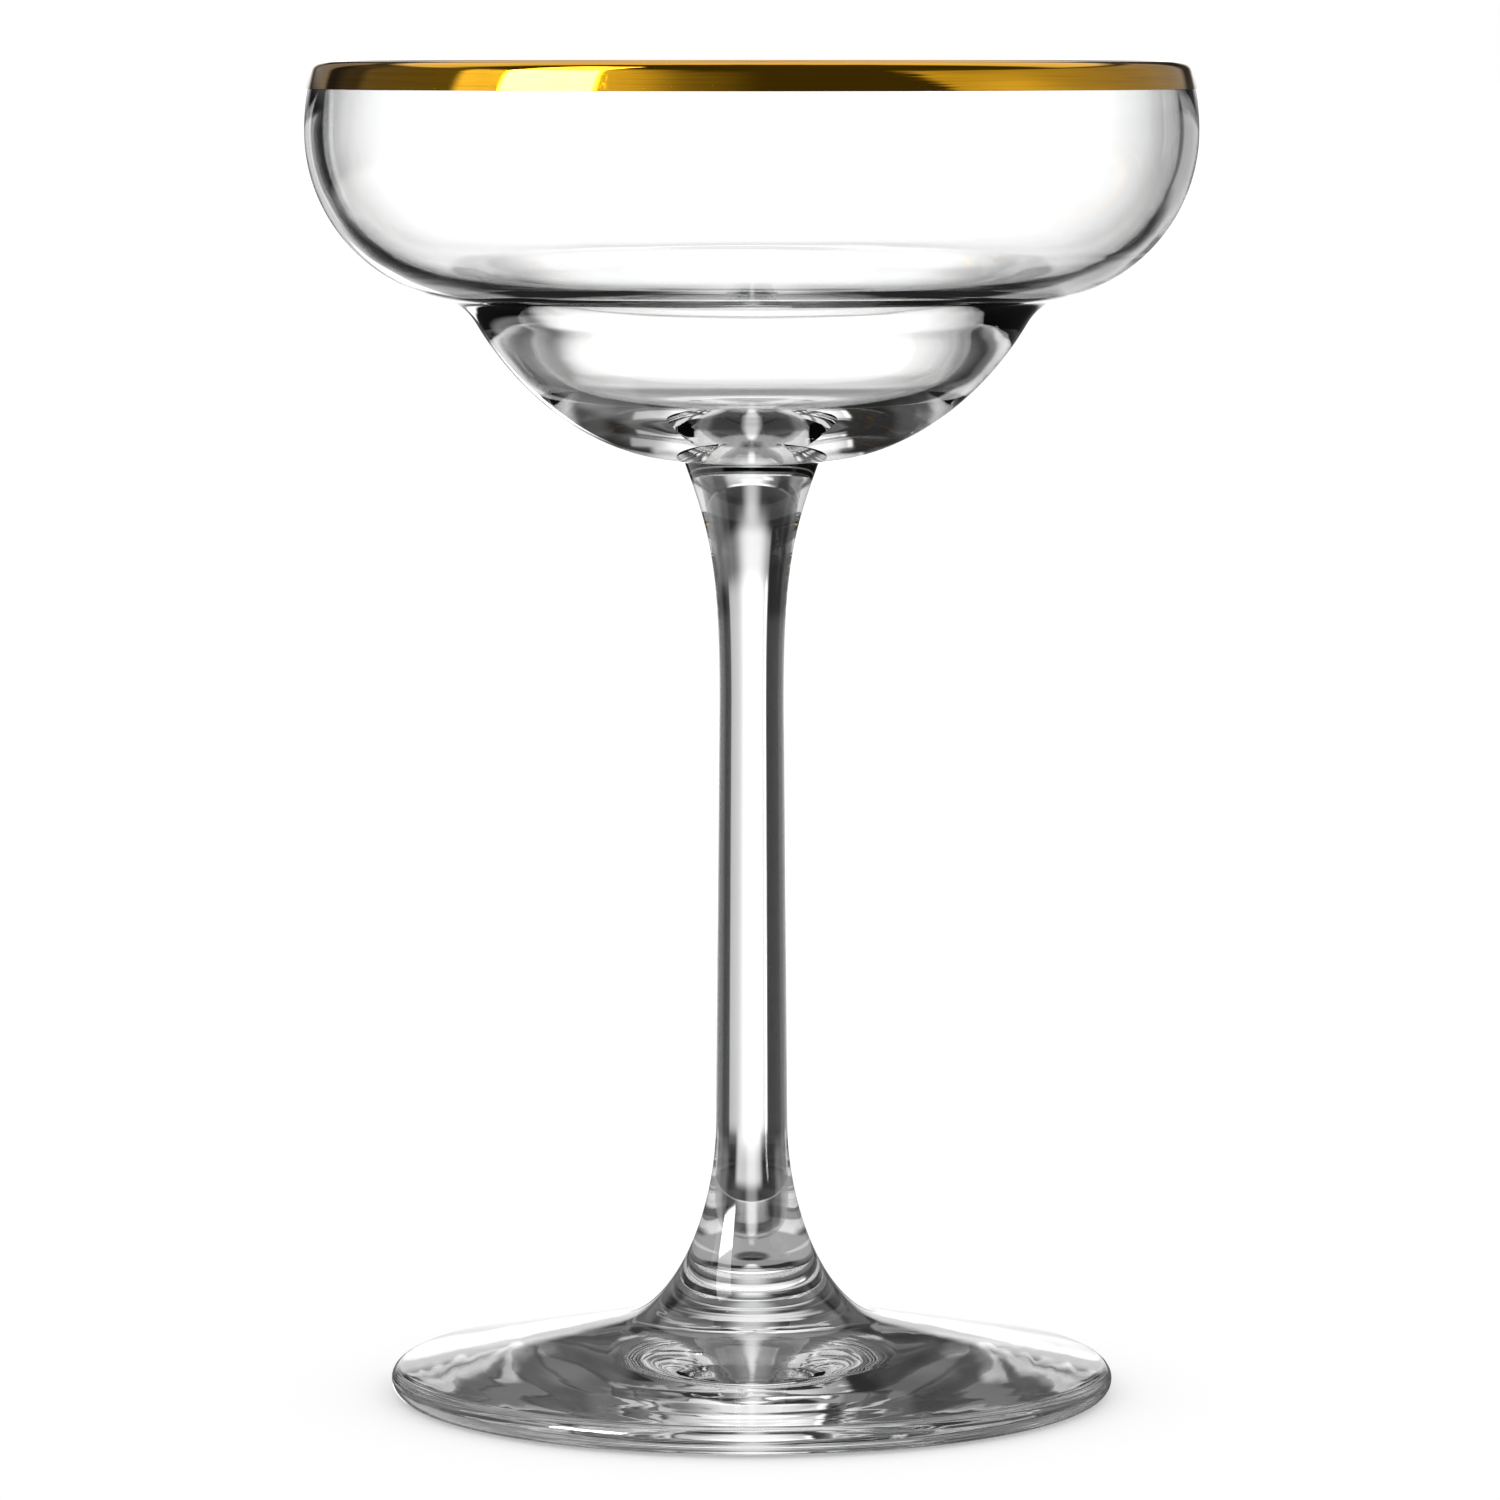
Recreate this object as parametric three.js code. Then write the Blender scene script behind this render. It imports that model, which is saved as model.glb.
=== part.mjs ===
// A stemmed glass with a gold line round its lip, in millimetres, standing on z = 0 with +Z up.
// Bowl, stem and foot are three glass pieces fused flat to flat, and the gold lies on the bowl's lip.
import * as THREE from "three";

// Heights of the whole glass
const GLASS_HEIGHT = 158;
const BOWL_HEIGHT = 46.9;
const FOOT_HEIGHT = 12.5;

// Bowl: the cup is two arcs that meet at the belly, its widest circle
const BELLY_RADIUS = 52.6;
const BELLY_BELOW_LIP = 8;
const UPPER_ARC_RADIUS = 27;
const LOWER_ARC_RADIUS = 20.1;

// Bowl: the fold turns the cup's underside down into the wall of the well
const FOLD_START_ANGLE = THREE.MathUtils.degToRad(77.8);
const FOLD_REACH = 2.9;
const WELL_LEAN = THREE.MathUtils.degToRad(30.5);
const WELL_WALL_FULLNESS = 0.53;
const WELL_FLOOR_FULLNESS = 0.41;

// Bowl: the inner face has a fold and a well of its own, with a flatter floor
const INNER_FOLD_START_ANGLE = THREE.MathUtils.degToRad(80.5);
const INNER_WELL_LEAN = THREE.MathUtils.degToRad(38.3);
const INNER_WELL_WALL_FULLNESS = 0.56;
const INNER_WELL_FLOOR_FULLNESS = 0.75;

// Bowl: glass thickness at the lip, at the belly, in the well and on the axis
const LIP_WALL = 1.6;
const BELLY_WALL = 2.2;
const WELL_WALL = 2.9;
const FLOOR_WALL = 4.8;
const LIP_ROUND = 0.9;

// Gold line: how far it reaches down each face, its film and the seat that it lies on
const GOLD_BAND_OUTSIDE = 3.1;
const GOLD_BAND_INSIDE = 1;
const GOLD_FILM = 0.15;
const GOLD_SEAT_CLEARANCE = 0.02;

// Stem: radii from the bowl down to the foot, and the lengths of its two flares
const BOWL_JOINT_RADIUS = 8;
const WAIST_RADIUS = 3.8;
const ANKLE_RADIUS = 4.25;
const FOOT_JOINT_RADIUS = 10.15;
const UPPER_FLARE_LENGTH = 28.4;
const LOWER_FLARE_LENGTH = 19.8;
const UPPER_FLARE_LEAN = THREE.MathUtils.degToRad(20);
const FOOT_JOINT_LEAN = THREE.MathUtils.degToRad(38.5);
const UPPER_FLARE_FULLNESS = [0.295, 0.56];
const LOWER_FLARE_FULLNESS = [0.36, 0.237];

// Foot: a hub under the stem, a shallow cone, a rounded edge, a standing ring and a hollow underneath
const FOOT_RADIUS = 43;
const FOOT_SLOPE = THREE.MathUtils.degToRad(11.4);
const FOOT_EDGE_ROUND = 1.72;
const FOOT_RING_WIDTH = 7.2;
const FOOT_HOLLOW_DEPTH = 0.8;
const FOOT_HOLLOW_FULLNESS = 0.36;
const HUB_RADIUS = 15.8;
const HUB_FULLNESS = [0.285, 0.38];

// Facets: sides of each turned piece and steps along a curve
const SIDES = 56;
const ARC_STEPS = 9;
const CURVE_STEPS = 8;
const ROUND_STEPS = 6;
const SHORT_STEPS = 3;

// Heights that the pieces share
const BOWL_JOINT_Z = GLASS_HEIGHT - BOWL_HEIGHT;
const BELLY_Z = GLASS_HEIGHT - BELLY_BELOW_LIP;
const LIP_BASE_Z = GLASS_HEIGHT - LIP_ROUND;

const at = (r, z) => new THREE.Vector2(r, z);

// A point moved by a distance along a direction.
const along = (point, direction, distance) => point.clone().addScaledVector(direction, distance);

// Points of a circular arc round a centre, between two angles measured up from the radius.
function arc(centre, radius, from, to, steps) {
  const points = [];
  for (let i = 0; i <= steps; i += 1) {
    const angle = from + ((to - from) * i) / steps;
    points.push(at(centre.x + radius * Math.cos(angle), centre.y + radius * Math.sin(angle)));
  }
  return points;
}

const cubic = (a, b, c, d, steps) => new THREE.CubicBezierCurve(a, b, c, d).getPoints(steps);
const quadratic = (a, b, c, steps) => new THREE.QuadraticBezierCurve(a, b, c).getPoints(steps);

// One outline from several stretches, each of which starts where the last one ends.
function joined(...stretches) {
  const outline = [];
  for (const stretch of stretches) {
    for (const point of stretch) {
      const last = outline[outline.length - 1];
      if (!last || last.distanceTo(point) > 1e-6) outline.push(point);
    }
  }
  return outline;
}

// The point where two lines meet, each given by a point and a direction.
function meeting(p, u, q, v) {
  const cross = u.x * v.y - u.y * v.x;
  const t = ((q.x - p.x) * v.y - (q.y - p.y) * v.x) / cross;
  return along(p, u, t);
}

// The arc through the belly's vertical wall and a given point above it, as centre and radius.
function wallArc(bellyRadius, end) {
  const rise = end.y - BELLY_Z;
  const drop = bellyRadius - end.x;
  const radius = (rise * rise + drop * drop) / (2 * drop);
  return { centre: at(bellyRadius - radius, BELLY_Z), radius, angle: Math.asin(rise / radius) };
}

// Face of the cup from the belly up to the foot of the lip's rounding, split at the gold line's edge.
function upperWall(bellyRadius, end, goldEdgeZ) {
  const { centre, radius, angle } = wallArc(bellyRadius, end);
  const split = Math.asin((goldEdgeZ - BELLY_Z) / radius);
  return {
    bare: arc(centre, radius, 0, split, SHORT_STEPS),
    gilded: arc(centre, radius, split, angle, SHORT_STEPS),
    lean: at(-Math.tan(angle), 1),
  };
}

// The cup's outer and inner wall near the lip, and the lip's rounding between them.
function lipShape() {
  const rise = LIP_BASE_Z - BELLY_Z;
  const outerDrop = UPPER_ARC_RADIUS - Math.sqrt(UPPER_ARC_RADIUS ** 2 - rise ** 2);
  const outerEnd = at(BELLY_RADIUS - outerDrop, LIP_BASE_Z);
  const innerEnd = at(outerEnd.x - LIP_WALL, LIP_BASE_Z);
  const outer = upperWall(BELLY_RADIUS, outerEnd, GLASS_HEIGHT - GOLD_BAND_OUTSIDE);
  const inner = upperWall(BELLY_RADIUS - BELLY_WALL, innerEnd, GLASS_HEIGHT - GOLD_BAND_INSIDE);
  const pull = (4 / 3) * LIP_ROUND;
  const rounding = cubic(
    outerEnd,
    along(outerEnd, outer.lean, pull),
    along(innerEnd, inner.lean, pull),
    innerEnd,
    ROUND_STEPS,
  );
  return { outer, inner, rounding };
}

// Numbers that tell the outer face of cup and well from the inner one.
const outerFace = {
  cupInset: 0,
  wellInset: 0,
  foldStart: FOLD_START_ANGLE,
  lean: WELL_LEAN,
  wallFullness: WELL_WALL_FULLNESS,
  floorFullness: WELL_FLOOR_FULLNESS,
};
const innerFace = {
  cupInset: BELLY_WALL,
  wellInset: WELL_WALL,
  foldStart: INNER_FOLD_START_ANGLE,
  lean: INNER_WELL_LEAN,
  wallFullness: INNER_WELL_WALL_FULLNESS,
  floorFullness: INNER_WELL_FLOOR_FULLNESS,
};

// The corner that the outer fold rounds off.
const cupCentre = at(BELLY_RADIUS - LOWER_ARC_RADIUS, BELLY_Z);
const foldCorner = along(
  along(cupCentre, at(Math.cos(FOLD_START_ANGLE), -Math.sin(FOLD_START_ANGLE)), LOWER_ARC_RADIUS),
  at(-Math.sin(FOLD_START_ANGLE), -Math.cos(FOLD_START_ANGLE)),
  FOLD_REACH,
);

// One face of lower cup, fold and well, from the belly down to a floor point where it lies flat.
function lowerFace(face, floor) {
  const inward = at(-Math.sin(face.foldStart), -Math.cos(face.foldStart));
  const down = at(-Math.sin(face.lean), -Math.cos(face.lean));
  const intoGlass = at(-Math.cos(face.lean), Math.sin(face.lean));
  const cup = arc(cupCentre, LOWER_ARC_RADIUS - face.cupInset, 0, -face.foldStart, ARC_STEPS);
  const start = cup[cup.length - 1];
  const corner = meeting(start, inward, along(foldCorner, intoGlass, face.wellInset), down);
  const end = along(corner, down, corner.distanceTo(start));
  const wallPull = (face.wallFullness * (end.y - floor.y)) / Math.cos(face.lean);
  const floorPull = face.floorFullness * (end.x - floor.x);
  const well = cubic(end, along(end, down, wallPull), at(floor.x + floorPull, floor.y), floor, CURVE_STEPS);
  return joined(cup, quadratic(start, corner, end, SHORT_STEPS), well);
}

const lip = lipShape();

// Bowl outline: from the axis out along the joint, up the outside, over the lip and down the inside.
function bowlOutline() {
  const jointEdge = at(BOWL_JOINT_RADIUS, BOWL_JOINT_Z);
  const floor = at(0, BOWL_JOINT_Z + FLOOR_WALL);
  return joined(
    [at(0, BOWL_JOINT_Z), jointEdge],
    lowerFace(outerFace, jointEdge).reverse(),
    lip.outer.bare,
    lip.outer.gilded,
    lip.rounding,
    lip.inner.gilded.slice().reverse(),
    lip.inner.bare.slice().reverse(),
    lowerFace(innerFace, floor),
  );
}

// An open outline moved to its right-hand side by a distance, point by point along its normals.
function offset(outline, distance) {
  return outline.map((point, i) => {
    const before = outline[Math.max(i - 1, 0)];
    const after = outline[Math.min(i + 1, outline.length - 1)];
    const tangent = after.clone().sub(before).normalize();
    return along(point, at(tangent.y, -tangent.x), distance);
  });
}

// Gold outline: the gilded stretch of the lip, moved off the glass by the seat and then by the film.
function goldOutline() {
  const gilded = joined(lip.outer.gilded, lip.rounding, lip.inner.gilded.slice().reverse());
  const face = offset(gilded, GOLD_SEAT_CLEARANCE + GOLD_FILM);
  const back = offset(gilded, GOLD_SEAT_CLEARANCE).reverse();
  return [...face, ...back, face[0].clone()];
}

// Stem outline: up from the foot's joint through the ankle and the waist to the bowl's joint.
function stemOutline() {
  const footJoint = at(FOOT_JOINT_RADIUS, FOOT_HEIGHT);
  const ankle = at(ANKLE_RADIUS, FOOT_HEIGHT + LOWER_FLARE_LENGTH);
  const waist = at(WAIST_RADIUS, BOWL_JOINT_Z - UPPER_FLARE_LENGTH);
  const bowlJoint = at(BOWL_JOINT_RADIUS, BOWL_JOINT_Z);
  const [anklePull, footPull] = LOWER_FLARE_FULLNESS.map((share) => share * LOWER_FLARE_LENGTH);
  const [bowlPull, waistPull] = UPPER_FLARE_FULLNESS.map((share) => share * UPPER_FLARE_LENGTH);
  const lower = cubic(
    footJoint,
    along(footJoint, at(-Math.tan(FOOT_JOINT_LEAN), 1), footPull),
    along(ankle, at(0, -1), anklePull),
    ankle,
    CURVE_STEPS,
  );
  const upper = cubic(
    waist,
    along(waist, at(0, 1), waistPull),
    along(bowlJoint, at(-Math.tan(UPPER_FLARE_LEAN), -1), bowlPull),
    bowlJoint,
    CURVE_STEPS,
  );
  return joined([at(0, FOOT_HEIGHT)], lower, upper, [at(0, BOWL_JOINT_Z)]);
}

// Foot outline: from the hollow's top out to the standing ring, round the edge and up the cone and hub.
function footOutline() {
  const edgeCentre = at(FOOT_RADIUS - FOOT_EDGE_ROUND, FOOT_EDGE_ROUND);
  const ringInner = at(edgeCentre.x - FOOT_RING_WIDTH, 0);
  const hollow = quadratic(
    at(0, FOOT_HOLLOW_DEPTH),
    at(ringInner.x * FOOT_HOLLOW_FULLNESS, FOOT_HOLLOW_DEPTH),
    ringInner,
    CURVE_STEPS,
  );
  const edge = joined(
    arc(edgeCentre, FOOT_EDGE_ROUND, -Math.PI / 2, 0, SHORT_STEPS),
    arc(edgeCentre, FOOT_EDGE_ROUND, 0, Math.PI / 2 - FOOT_SLOPE, SHORT_STEPS),
  );
  const shoulder = edge[edge.length - 1];
  const hub = at(HUB_RADIUS, shoulder.y + (shoulder.x - HUB_RADIUS) * Math.tan(FOOT_SLOPE));
  const joint = at(FOOT_JOINT_RADIUS, FOOT_HEIGHT);
  const [jointPull, hubPull] = HUB_FULLNESS.map((share) => share * (HUB_RADIUS - FOOT_JOINT_RADIUS));
  const neck = cubic(
    hub,
    along(hub, at(-1, Math.tan(FOOT_SLOPE)), hubPull),
    along(joint, at(1, -1 / Math.tan(FOOT_JOINT_LEAN)), jointPull),
    joint,
    SHORT_STEPS + 1,
  );
  return joined(hollow, edge, neck, [at(0, FOOT_HEIGHT)]);
}

// A piece turned from its outline, stood upright along +Z.
function turned(name, outline, finish) {
  const geometry = new THREE.LatheGeometry(outline, SIDES).rotateX(Math.PI / 2);
  const mesh = new THREE.Mesh(geometry, new THREE.MeshStandardMaterial(finish));
  mesh.name = name;
  return mesh;
}

const clearGlass = { color: 0xeef2f1, roughness: 0.03, metalness: 0 };
const firedGold = { color: 0xd6a23a, roughness: 0.16, metalness: 1 };

const glass = new THREE.Group();
glass.add(
  turned("foot", footOutline(), clearGlass),
  turned("stem", stemOutline(), clearGlass),
  turned("bowl", bowlOutline(), clearGlass),
  turned("gold_rim", goldOutline(), firedGold),
);

export default glass;
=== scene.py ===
"""Looks of a stemmed glass with a gold line round its lip, in metres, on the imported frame.

Bowl, stem and foot are drawn as three clear pieces that are fused where they meet, so light passes
from one to the next as in one glass. Every piece is an outline turned about the Z axis.
"""

import logging
import math
from dataclasses import dataclass, replace
from enum import Enum
from typing import ClassVar, Sequence

import bpy
import numpy as np
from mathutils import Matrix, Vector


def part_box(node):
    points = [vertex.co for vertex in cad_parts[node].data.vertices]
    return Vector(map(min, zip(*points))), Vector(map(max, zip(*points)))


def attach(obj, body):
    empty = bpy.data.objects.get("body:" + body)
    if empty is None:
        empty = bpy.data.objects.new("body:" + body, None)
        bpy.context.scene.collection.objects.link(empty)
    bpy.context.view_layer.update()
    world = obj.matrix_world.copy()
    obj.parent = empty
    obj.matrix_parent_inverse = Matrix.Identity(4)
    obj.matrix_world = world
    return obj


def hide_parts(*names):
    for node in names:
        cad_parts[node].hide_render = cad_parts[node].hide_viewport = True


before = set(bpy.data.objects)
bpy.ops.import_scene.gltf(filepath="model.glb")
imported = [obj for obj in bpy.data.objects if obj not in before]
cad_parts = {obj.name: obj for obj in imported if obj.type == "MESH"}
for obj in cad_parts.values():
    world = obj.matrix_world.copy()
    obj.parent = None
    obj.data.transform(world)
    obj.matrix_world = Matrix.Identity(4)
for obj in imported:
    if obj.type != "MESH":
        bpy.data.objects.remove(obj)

LOG = logging.getLogger("stemmed_glass")

MM = 0.001
RIGHT_ANGLE = math.pi / 2.0
BODY = "root"
SIDES = 288
SEAM_STEPS = 6
SPUN_RING_DEPTH = 0.06 * MM

Outline = np.ndarray
Colour = tuple[float, float, float]


class Face(Enum):
    """What a ring of faces touches: the air, or the glass of the next piece."""

    FREE = 0
    FUSED = 1


class Ray(Enum):
    """The kinds of ray that the stage answers to, by the name of their Light Path output."""

    CAMERA = "Is Camera Ray"
    GLOSSY = "Is Glossy Ray"
    TRANSMISSION = "Is Transmission Ray"


# Outlines in the half plane of radius and height


def arc(centre: Sequence[float], radius: float, start: float, end: float, steps: int) -> Outline:
    """Points on a circle: centre + radius * (cos a, sin a), with a running evenly from start to end.

    Args:
        centre: Radius and height of the circle's centre.
        radius: Radius of the circle.
        start: First angle in radians, measured up from the radius.
        end: Last angle in radians.
        steps: Number of equal steps.

    Returns:
        An array of (steps + 1) points.
    """
    angle = np.linspace(start, end, steps + 1)
    return np.column_stack((centre[0] + radius * np.cos(angle), centre[1] + radius * np.sin(angle)))


def bezier(controls: Sequence[Sequence[float]], steps: int) -> Outline:
    """Bezier curve: each control point weighted by its Bernstein polynomial of t from 0 to 1.

    Args:
        controls: Three or four control points.
        steps: Number of equal steps in t.

    Returns:
        An array of (steps + 1) points.
    """
    t = np.linspace(0.0, 1.0, steps + 1)[:, None]
    order = len(controls) - 1
    k = np.arange(order + 1)[None, :]
    binomial = np.array([math.comb(order, int(i)) for i in k[0]])
    return (binomial * t**k * (1.0 - t) ** (order - k)) @ np.asarray(controls, float)


def line(first: Sequence[float], last: Sequence[float], steps: int) -> Outline:
    """Points at equal steps on the straight line between two points."""
    return np.linspace(np.asarray(first, float), np.asarray(last, float), steps + 1)


def chain(*stretches: Outline) -> Outline:
    """One outline from stretches that each start where the last one ends.

    Args:
        stretches: Arrays of points.

    Returns:
        All the points, with each repeated end left out.
    """
    return np.vstack([stretches[0], *[stretch[1:] for stretch in stretches[1:]]])


def moved_out(outline: Outline, distance: float) -> Outline:
    """An open outline moved to its right-hand side along the normal of its central differences.

    Args:
        outline: The points to move.
        distance: How far to move them.

    Returns:
        The moved points.
    """
    tangent = np.gradient(outline, axis=0)
    tangent /= np.linalg.norm(tangent, axis=1, keepdims=True)
    return outline + distance * np.column_stack((tangent[:, 1], -tangent[:, 0]))


# Turned pieces


@dataclass
class TurnedPiece:
    """A closed surface that an outline sweeps round the Z axis.

    The surface is S(u, a) = (r(u) cos a, r(u) sin a, z(u)), with u along the outline and a all the
    way round. A point of the outline on the axis becomes one pole, shared by its ring of triangles.
    """

    name: str
    node: str
    slot: str
    outline: Outline
    kinds: np.ndarray
    materials: Sequence[bpy.types.Material]

    SHARP: ClassVar[float] = math.radians(32.0)
    ON_AXIS: ClassVar[float] = 1e-9

    def build(self) -> bpy.types.Object:
        """Makes the mesh, dresses it and puts it in the place of its CAD node.

        Returns:
            The finished object, riding on the glass's body.
        """
        rows, radius, height = len(self.outline), self.outline[:, 0], self.outline[:, 1]
        angle = np.arange(SIDES) * (2.0 * math.pi / SIDES)
        pole = radius < self.ON_AXIS
        count = np.where(pole, 1, SIDES)
        first = np.concatenate(([0], np.cumsum(count)[:-1]))
        ring = np.arange(SIDES + 1) % SIDES
        index = first[:, None] + np.where(pole[:, None], 0, ring[None, :])
        grid = np.stack(
            np.broadcast_arrays(
                radius[:, None] * np.cos(angle), radius[:, None] * np.sin(angle), height[:, None]
            ),
            axis=-1,
        )
        keep = np.ones((rows, SIDES), bool)
        keep[pole, 1:] = False
        faces = self._faces(index)
        mesh = bpy.data.meshes.new(self.name)
        mesh.from_pydata(grid[keep].tolist(), [], [face for face, _ in faces])
        mesh.polygons.foreach_set("material_index", np.array([kind for _, kind in faces], np.int32))
        mesh.polygons.foreach_set("use_smooth", np.ones(len(faces), bool))
        mesh.set_sharp_from_angle(angle=self.SHARP)
        for material in self.materials:
            mesh.materials.append(material)
        mesh.validate()
        mesh.update()
        piece = bpy.data.objects.new(self.name, mesh)
        bpy.context.scene.collection.objects.link(piece)
        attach(piece, BODY)
        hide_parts(self.node)
        LOG.info("%s: %d faces, replaces %s", self.name, len(faces), self.node)
        return piece

    def _faces(self, index: np.ndarray) -> list[tuple[list[int], int]]:
        """Quads between rings and triangles at the poles, each with its material's number.

        Args:
            index: Vertex number of each ring and column, with the first column repeated at the end.

        Returns:
            Pairs of a face's vertices and its material's number.
        """
        low, high = index[:-1], index[1:]
        quads = np.stack((low[:, :-1], low[:, 1:], high[:, 1:], high[:, :-1]), axis=-1)
        kinds = np.broadcast_to(self.kinds[:, None], quads.shape[:2])
        from_pole = low[:, 0] == low[:, 1]
        to_pole = high[:, 0] == high[:, 1]
        middle = ~(from_pole | to_pole)
        sets = (
            (quads[middle].reshape(-1, 4), kinds[middle].ravel()),
            (quads[from_pole][..., [0, 2, 3]].reshape(-1, 3), kinds[from_pole].ravel()),
            (quads[to_pole][..., [0, 1, 2]].reshape(-1, 3), kinds[to_pole].ravel()),
        )
        return [pair for faces, kind in sets for pair in zip(faces.tolist(), kind.tolist())]


def kinds_of(*stretches: tuple[Outline, Face]) -> np.ndarray:
    """The face kind of each step along a chain of stretches.

    Args:
        stretches: Each stretch of the outline with what its faces touch.

    Returns:
        One number for each step of the chained outline.
    """
    return np.concatenate([np.full(len(points) - 1, kind.value) for points, kind in stretches])


@dataclass
class Glass:
    """Sizes that more than one piece shares: heights and widths from the frame, and the joints' sizes."""

    lip_z: float
    bowl_joint_z: float
    foot_joint_z: float
    belly_radius: float
    foot_radius: float
    bowl_joint_radius: float = 8.0 * MM
    foot_joint_radius: float = 10.15 * MM
    foot_joint_lean: float = math.radians(38.5)

    @classmethod
    def from_frame(cls) -> "Glass":
        """The shared sizes, from the boxes of the CAD nodes."""
        bowl_low, bowl_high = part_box("bowl")
        _, foot_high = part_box("foot")
        return cls(
            lip_z=bowl_high.z,
            bowl_joint_z=bowl_low.z,
            foot_joint_z=foot_high.z,
            belly_radius=bowl_high.x,
            foot_radius=foot_high.x,
        )


@dataclass(frozen=True)
class WallFace:
    """What tells the outer face of cup and well from the inner one."""

    cup_inset: float
    well_inset: float
    fold_start: float
    lean: float
    wall_fullness: float
    floor_fullness: float


@dataclass
class Bowl:
    """The cup, the fold and the well in one wall, with a rounded lip."""

    glass: Glass
    belly_below_lip: float = 8.0 * MM
    upper_arc_radius: float = 27.0 * MM
    lower_arc_radius: float = 20.1 * MM
    fold_reach: float = 2.9 * MM
    lip_wall: float = 1.6 * MM
    floor_wall: float = 4.8 * MM
    outer: WallFace = WallFace(
        cup_inset=0.0,
        well_inset=0.0,
        fold_start=math.radians(77.8),
        lean=math.radians(30.5),
        wall_fullness=0.53,
        floor_fullness=0.41,
    )
    inner: WallFace = WallFace(
        cup_inset=2.2 * MM,
        well_inset=2.9 * MM,
        fold_start=math.radians(80.5),
        lean=math.radians(38.3),
        wall_fullness=0.56,
        floor_fullness=0.75,
    )
    lip_round: float = 0.9 * MM
    gold_outside: float = 3.1 * MM
    gold_inside: float = 1.0 * MM

    # A cubic curve rises to three quarters of the height of its two middle controls
    ROUND_PULL: ClassVar[float] = 4.0 / 3.0
    # Steps along each stretch of the outline
    UPPER_STEPS: ClassVar[int] = 10
    LIP_STEPS: ClassVar[int] = 24
    CUP_STEPS: ClassVar[int] = 54
    FOLD_STEPS: ClassVar[int] = 24
    WELL_STEPS: ClassVar[int] = 60

    @property
    def belly_z(self) -> float:
        """Height of the widest circle."""
        return self.glass.lip_z - self.belly_below_lip

    def upper_wall(
        self, belly_radius: float, end: np.ndarray, edge_z: float
    ) -> tuple[Outline, Outline, np.ndarray]:
        """One face of the wall above the belly, an arc that starts upright, cut at the gold's edge.

        Args:
            belly_radius: Radius of this face at the belly.
            end: Point where the lip's rounding starts.
            edge_z: Height of the gold's edge.

        Returns:
            The bare stretch, the gilded stretch and the direction at its end, one unit up.
        """
        rise, drop = end[1] - self.belly_z, belly_radius - end[0]
        radius = (rise**2 + drop**2) / (2.0 * drop)
        centre = (belly_radius - radius, self.belly_z)
        top = math.asin(rise / radius)
        split = math.asin((edge_z - self.belly_z) / radius)
        lean = np.array((-math.tan(top), 1.0))
        bare = arc(centre, radius, 0.0, split, self.UPPER_STEPS)
        gilded = arc(centre, radius, split, top, self.UPPER_STEPS)
        return bare, gilded, lean

    def lip(self) -> tuple[Outline, Outline, Outline, Outline, Outline]:
        """The wall above the belly and the lip, in order from outside to inside.

        Returns:
            Bare outside, gilded outside, rounding, gilded inside and bare inside.
        """
        base_z = self.glass.lip_z - self.lip_round
        rise = base_z - self.belly_z
        drop = self.upper_arc_radius - math.sqrt(self.upper_arc_radius**2 - rise**2)
        outer_end = np.array((self.glass.belly_radius - drop, base_z))
        inner_end = outer_end - (self.lip_wall, 0.0)
        bare, gilded, lean = self.upper_wall(
            self.glass.belly_radius, outer_end, self.glass.lip_z - self.gold_outside
        )
        inner_bare, inner_gilded, inner_lean = self.upper_wall(
            self.glass.belly_radius - self.inner.cup_inset, inner_end, self.glass.lip_z - self.gold_inside
        )
        pull = self.lip_round * self.ROUND_PULL
        rounding = bezier(
            (outer_end, outer_end + lean * pull, inner_end + inner_lean * pull, inner_end), self.LIP_STEPS
        )
        return bare, gilded, rounding, inner_gilded[::-1], inner_bare[::-1]

    def lower_wall(self, face: WallFace, floor: np.ndarray) -> Outline:
        """One face of the wall from the belly down to a floor point where it lies flat.

        A circle runs under the cup, a parabola turns it down at the fold, and a cubic curve follows the
        well's wall and flattens out at the floor.

        Args:
            face: The face's numbers.
            floor: Last point.

        Returns:
            The points from the belly to the floor.
        """
        centre = np.array((self.glass.belly_radius - self.lower_arc_radius, self.belly_z))
        outer = self.outer.fold_start
        fold_corner = (
            centre
            + np.array((math.cos(outer), -math.sin(outer))) * self.lower_arc_radius
            + np.array((-math.sin(outer), -math.cos(outer))) * self.fold_reach
        )
        inward = np.array((-math.sin(face.fold_start), -math.cos(face.fold_start)))
        down = np.array((-math.sin(face.lean), -math.cos(face.lean)))
        into_glass = np.array((-math.cos(face.lean), math.sin(face.lean)))
        cup = arc(centre, self.lower_arc_radius - face.cup_inset, 0.0, -face.fold_start, self.CUP_STEPS)
        through = fold_corner + into_glass * face.well_inset
        reach = np.linalg.solve(np.column_stack((inward, -down)), through - cup[-1])[0]
        corner = cup[-1] + inward * reach
        end = corner + down * reach
        fold = bezier((cup[-1], corner, end), self.FOLD_STEPS)
        wall_pull = face.wall_fullness * (end[1] - floor[1]) / math.cos(face.lean)
        floor_pull = np.array((face.floor_fullness * (end[0] - floor[0]), 0.0))
        well = bezier((end, end + down * wall_pull, floor + floor_pull, floor), self.WELL_STEPS)
        return chain(cup, fold, well)

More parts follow.
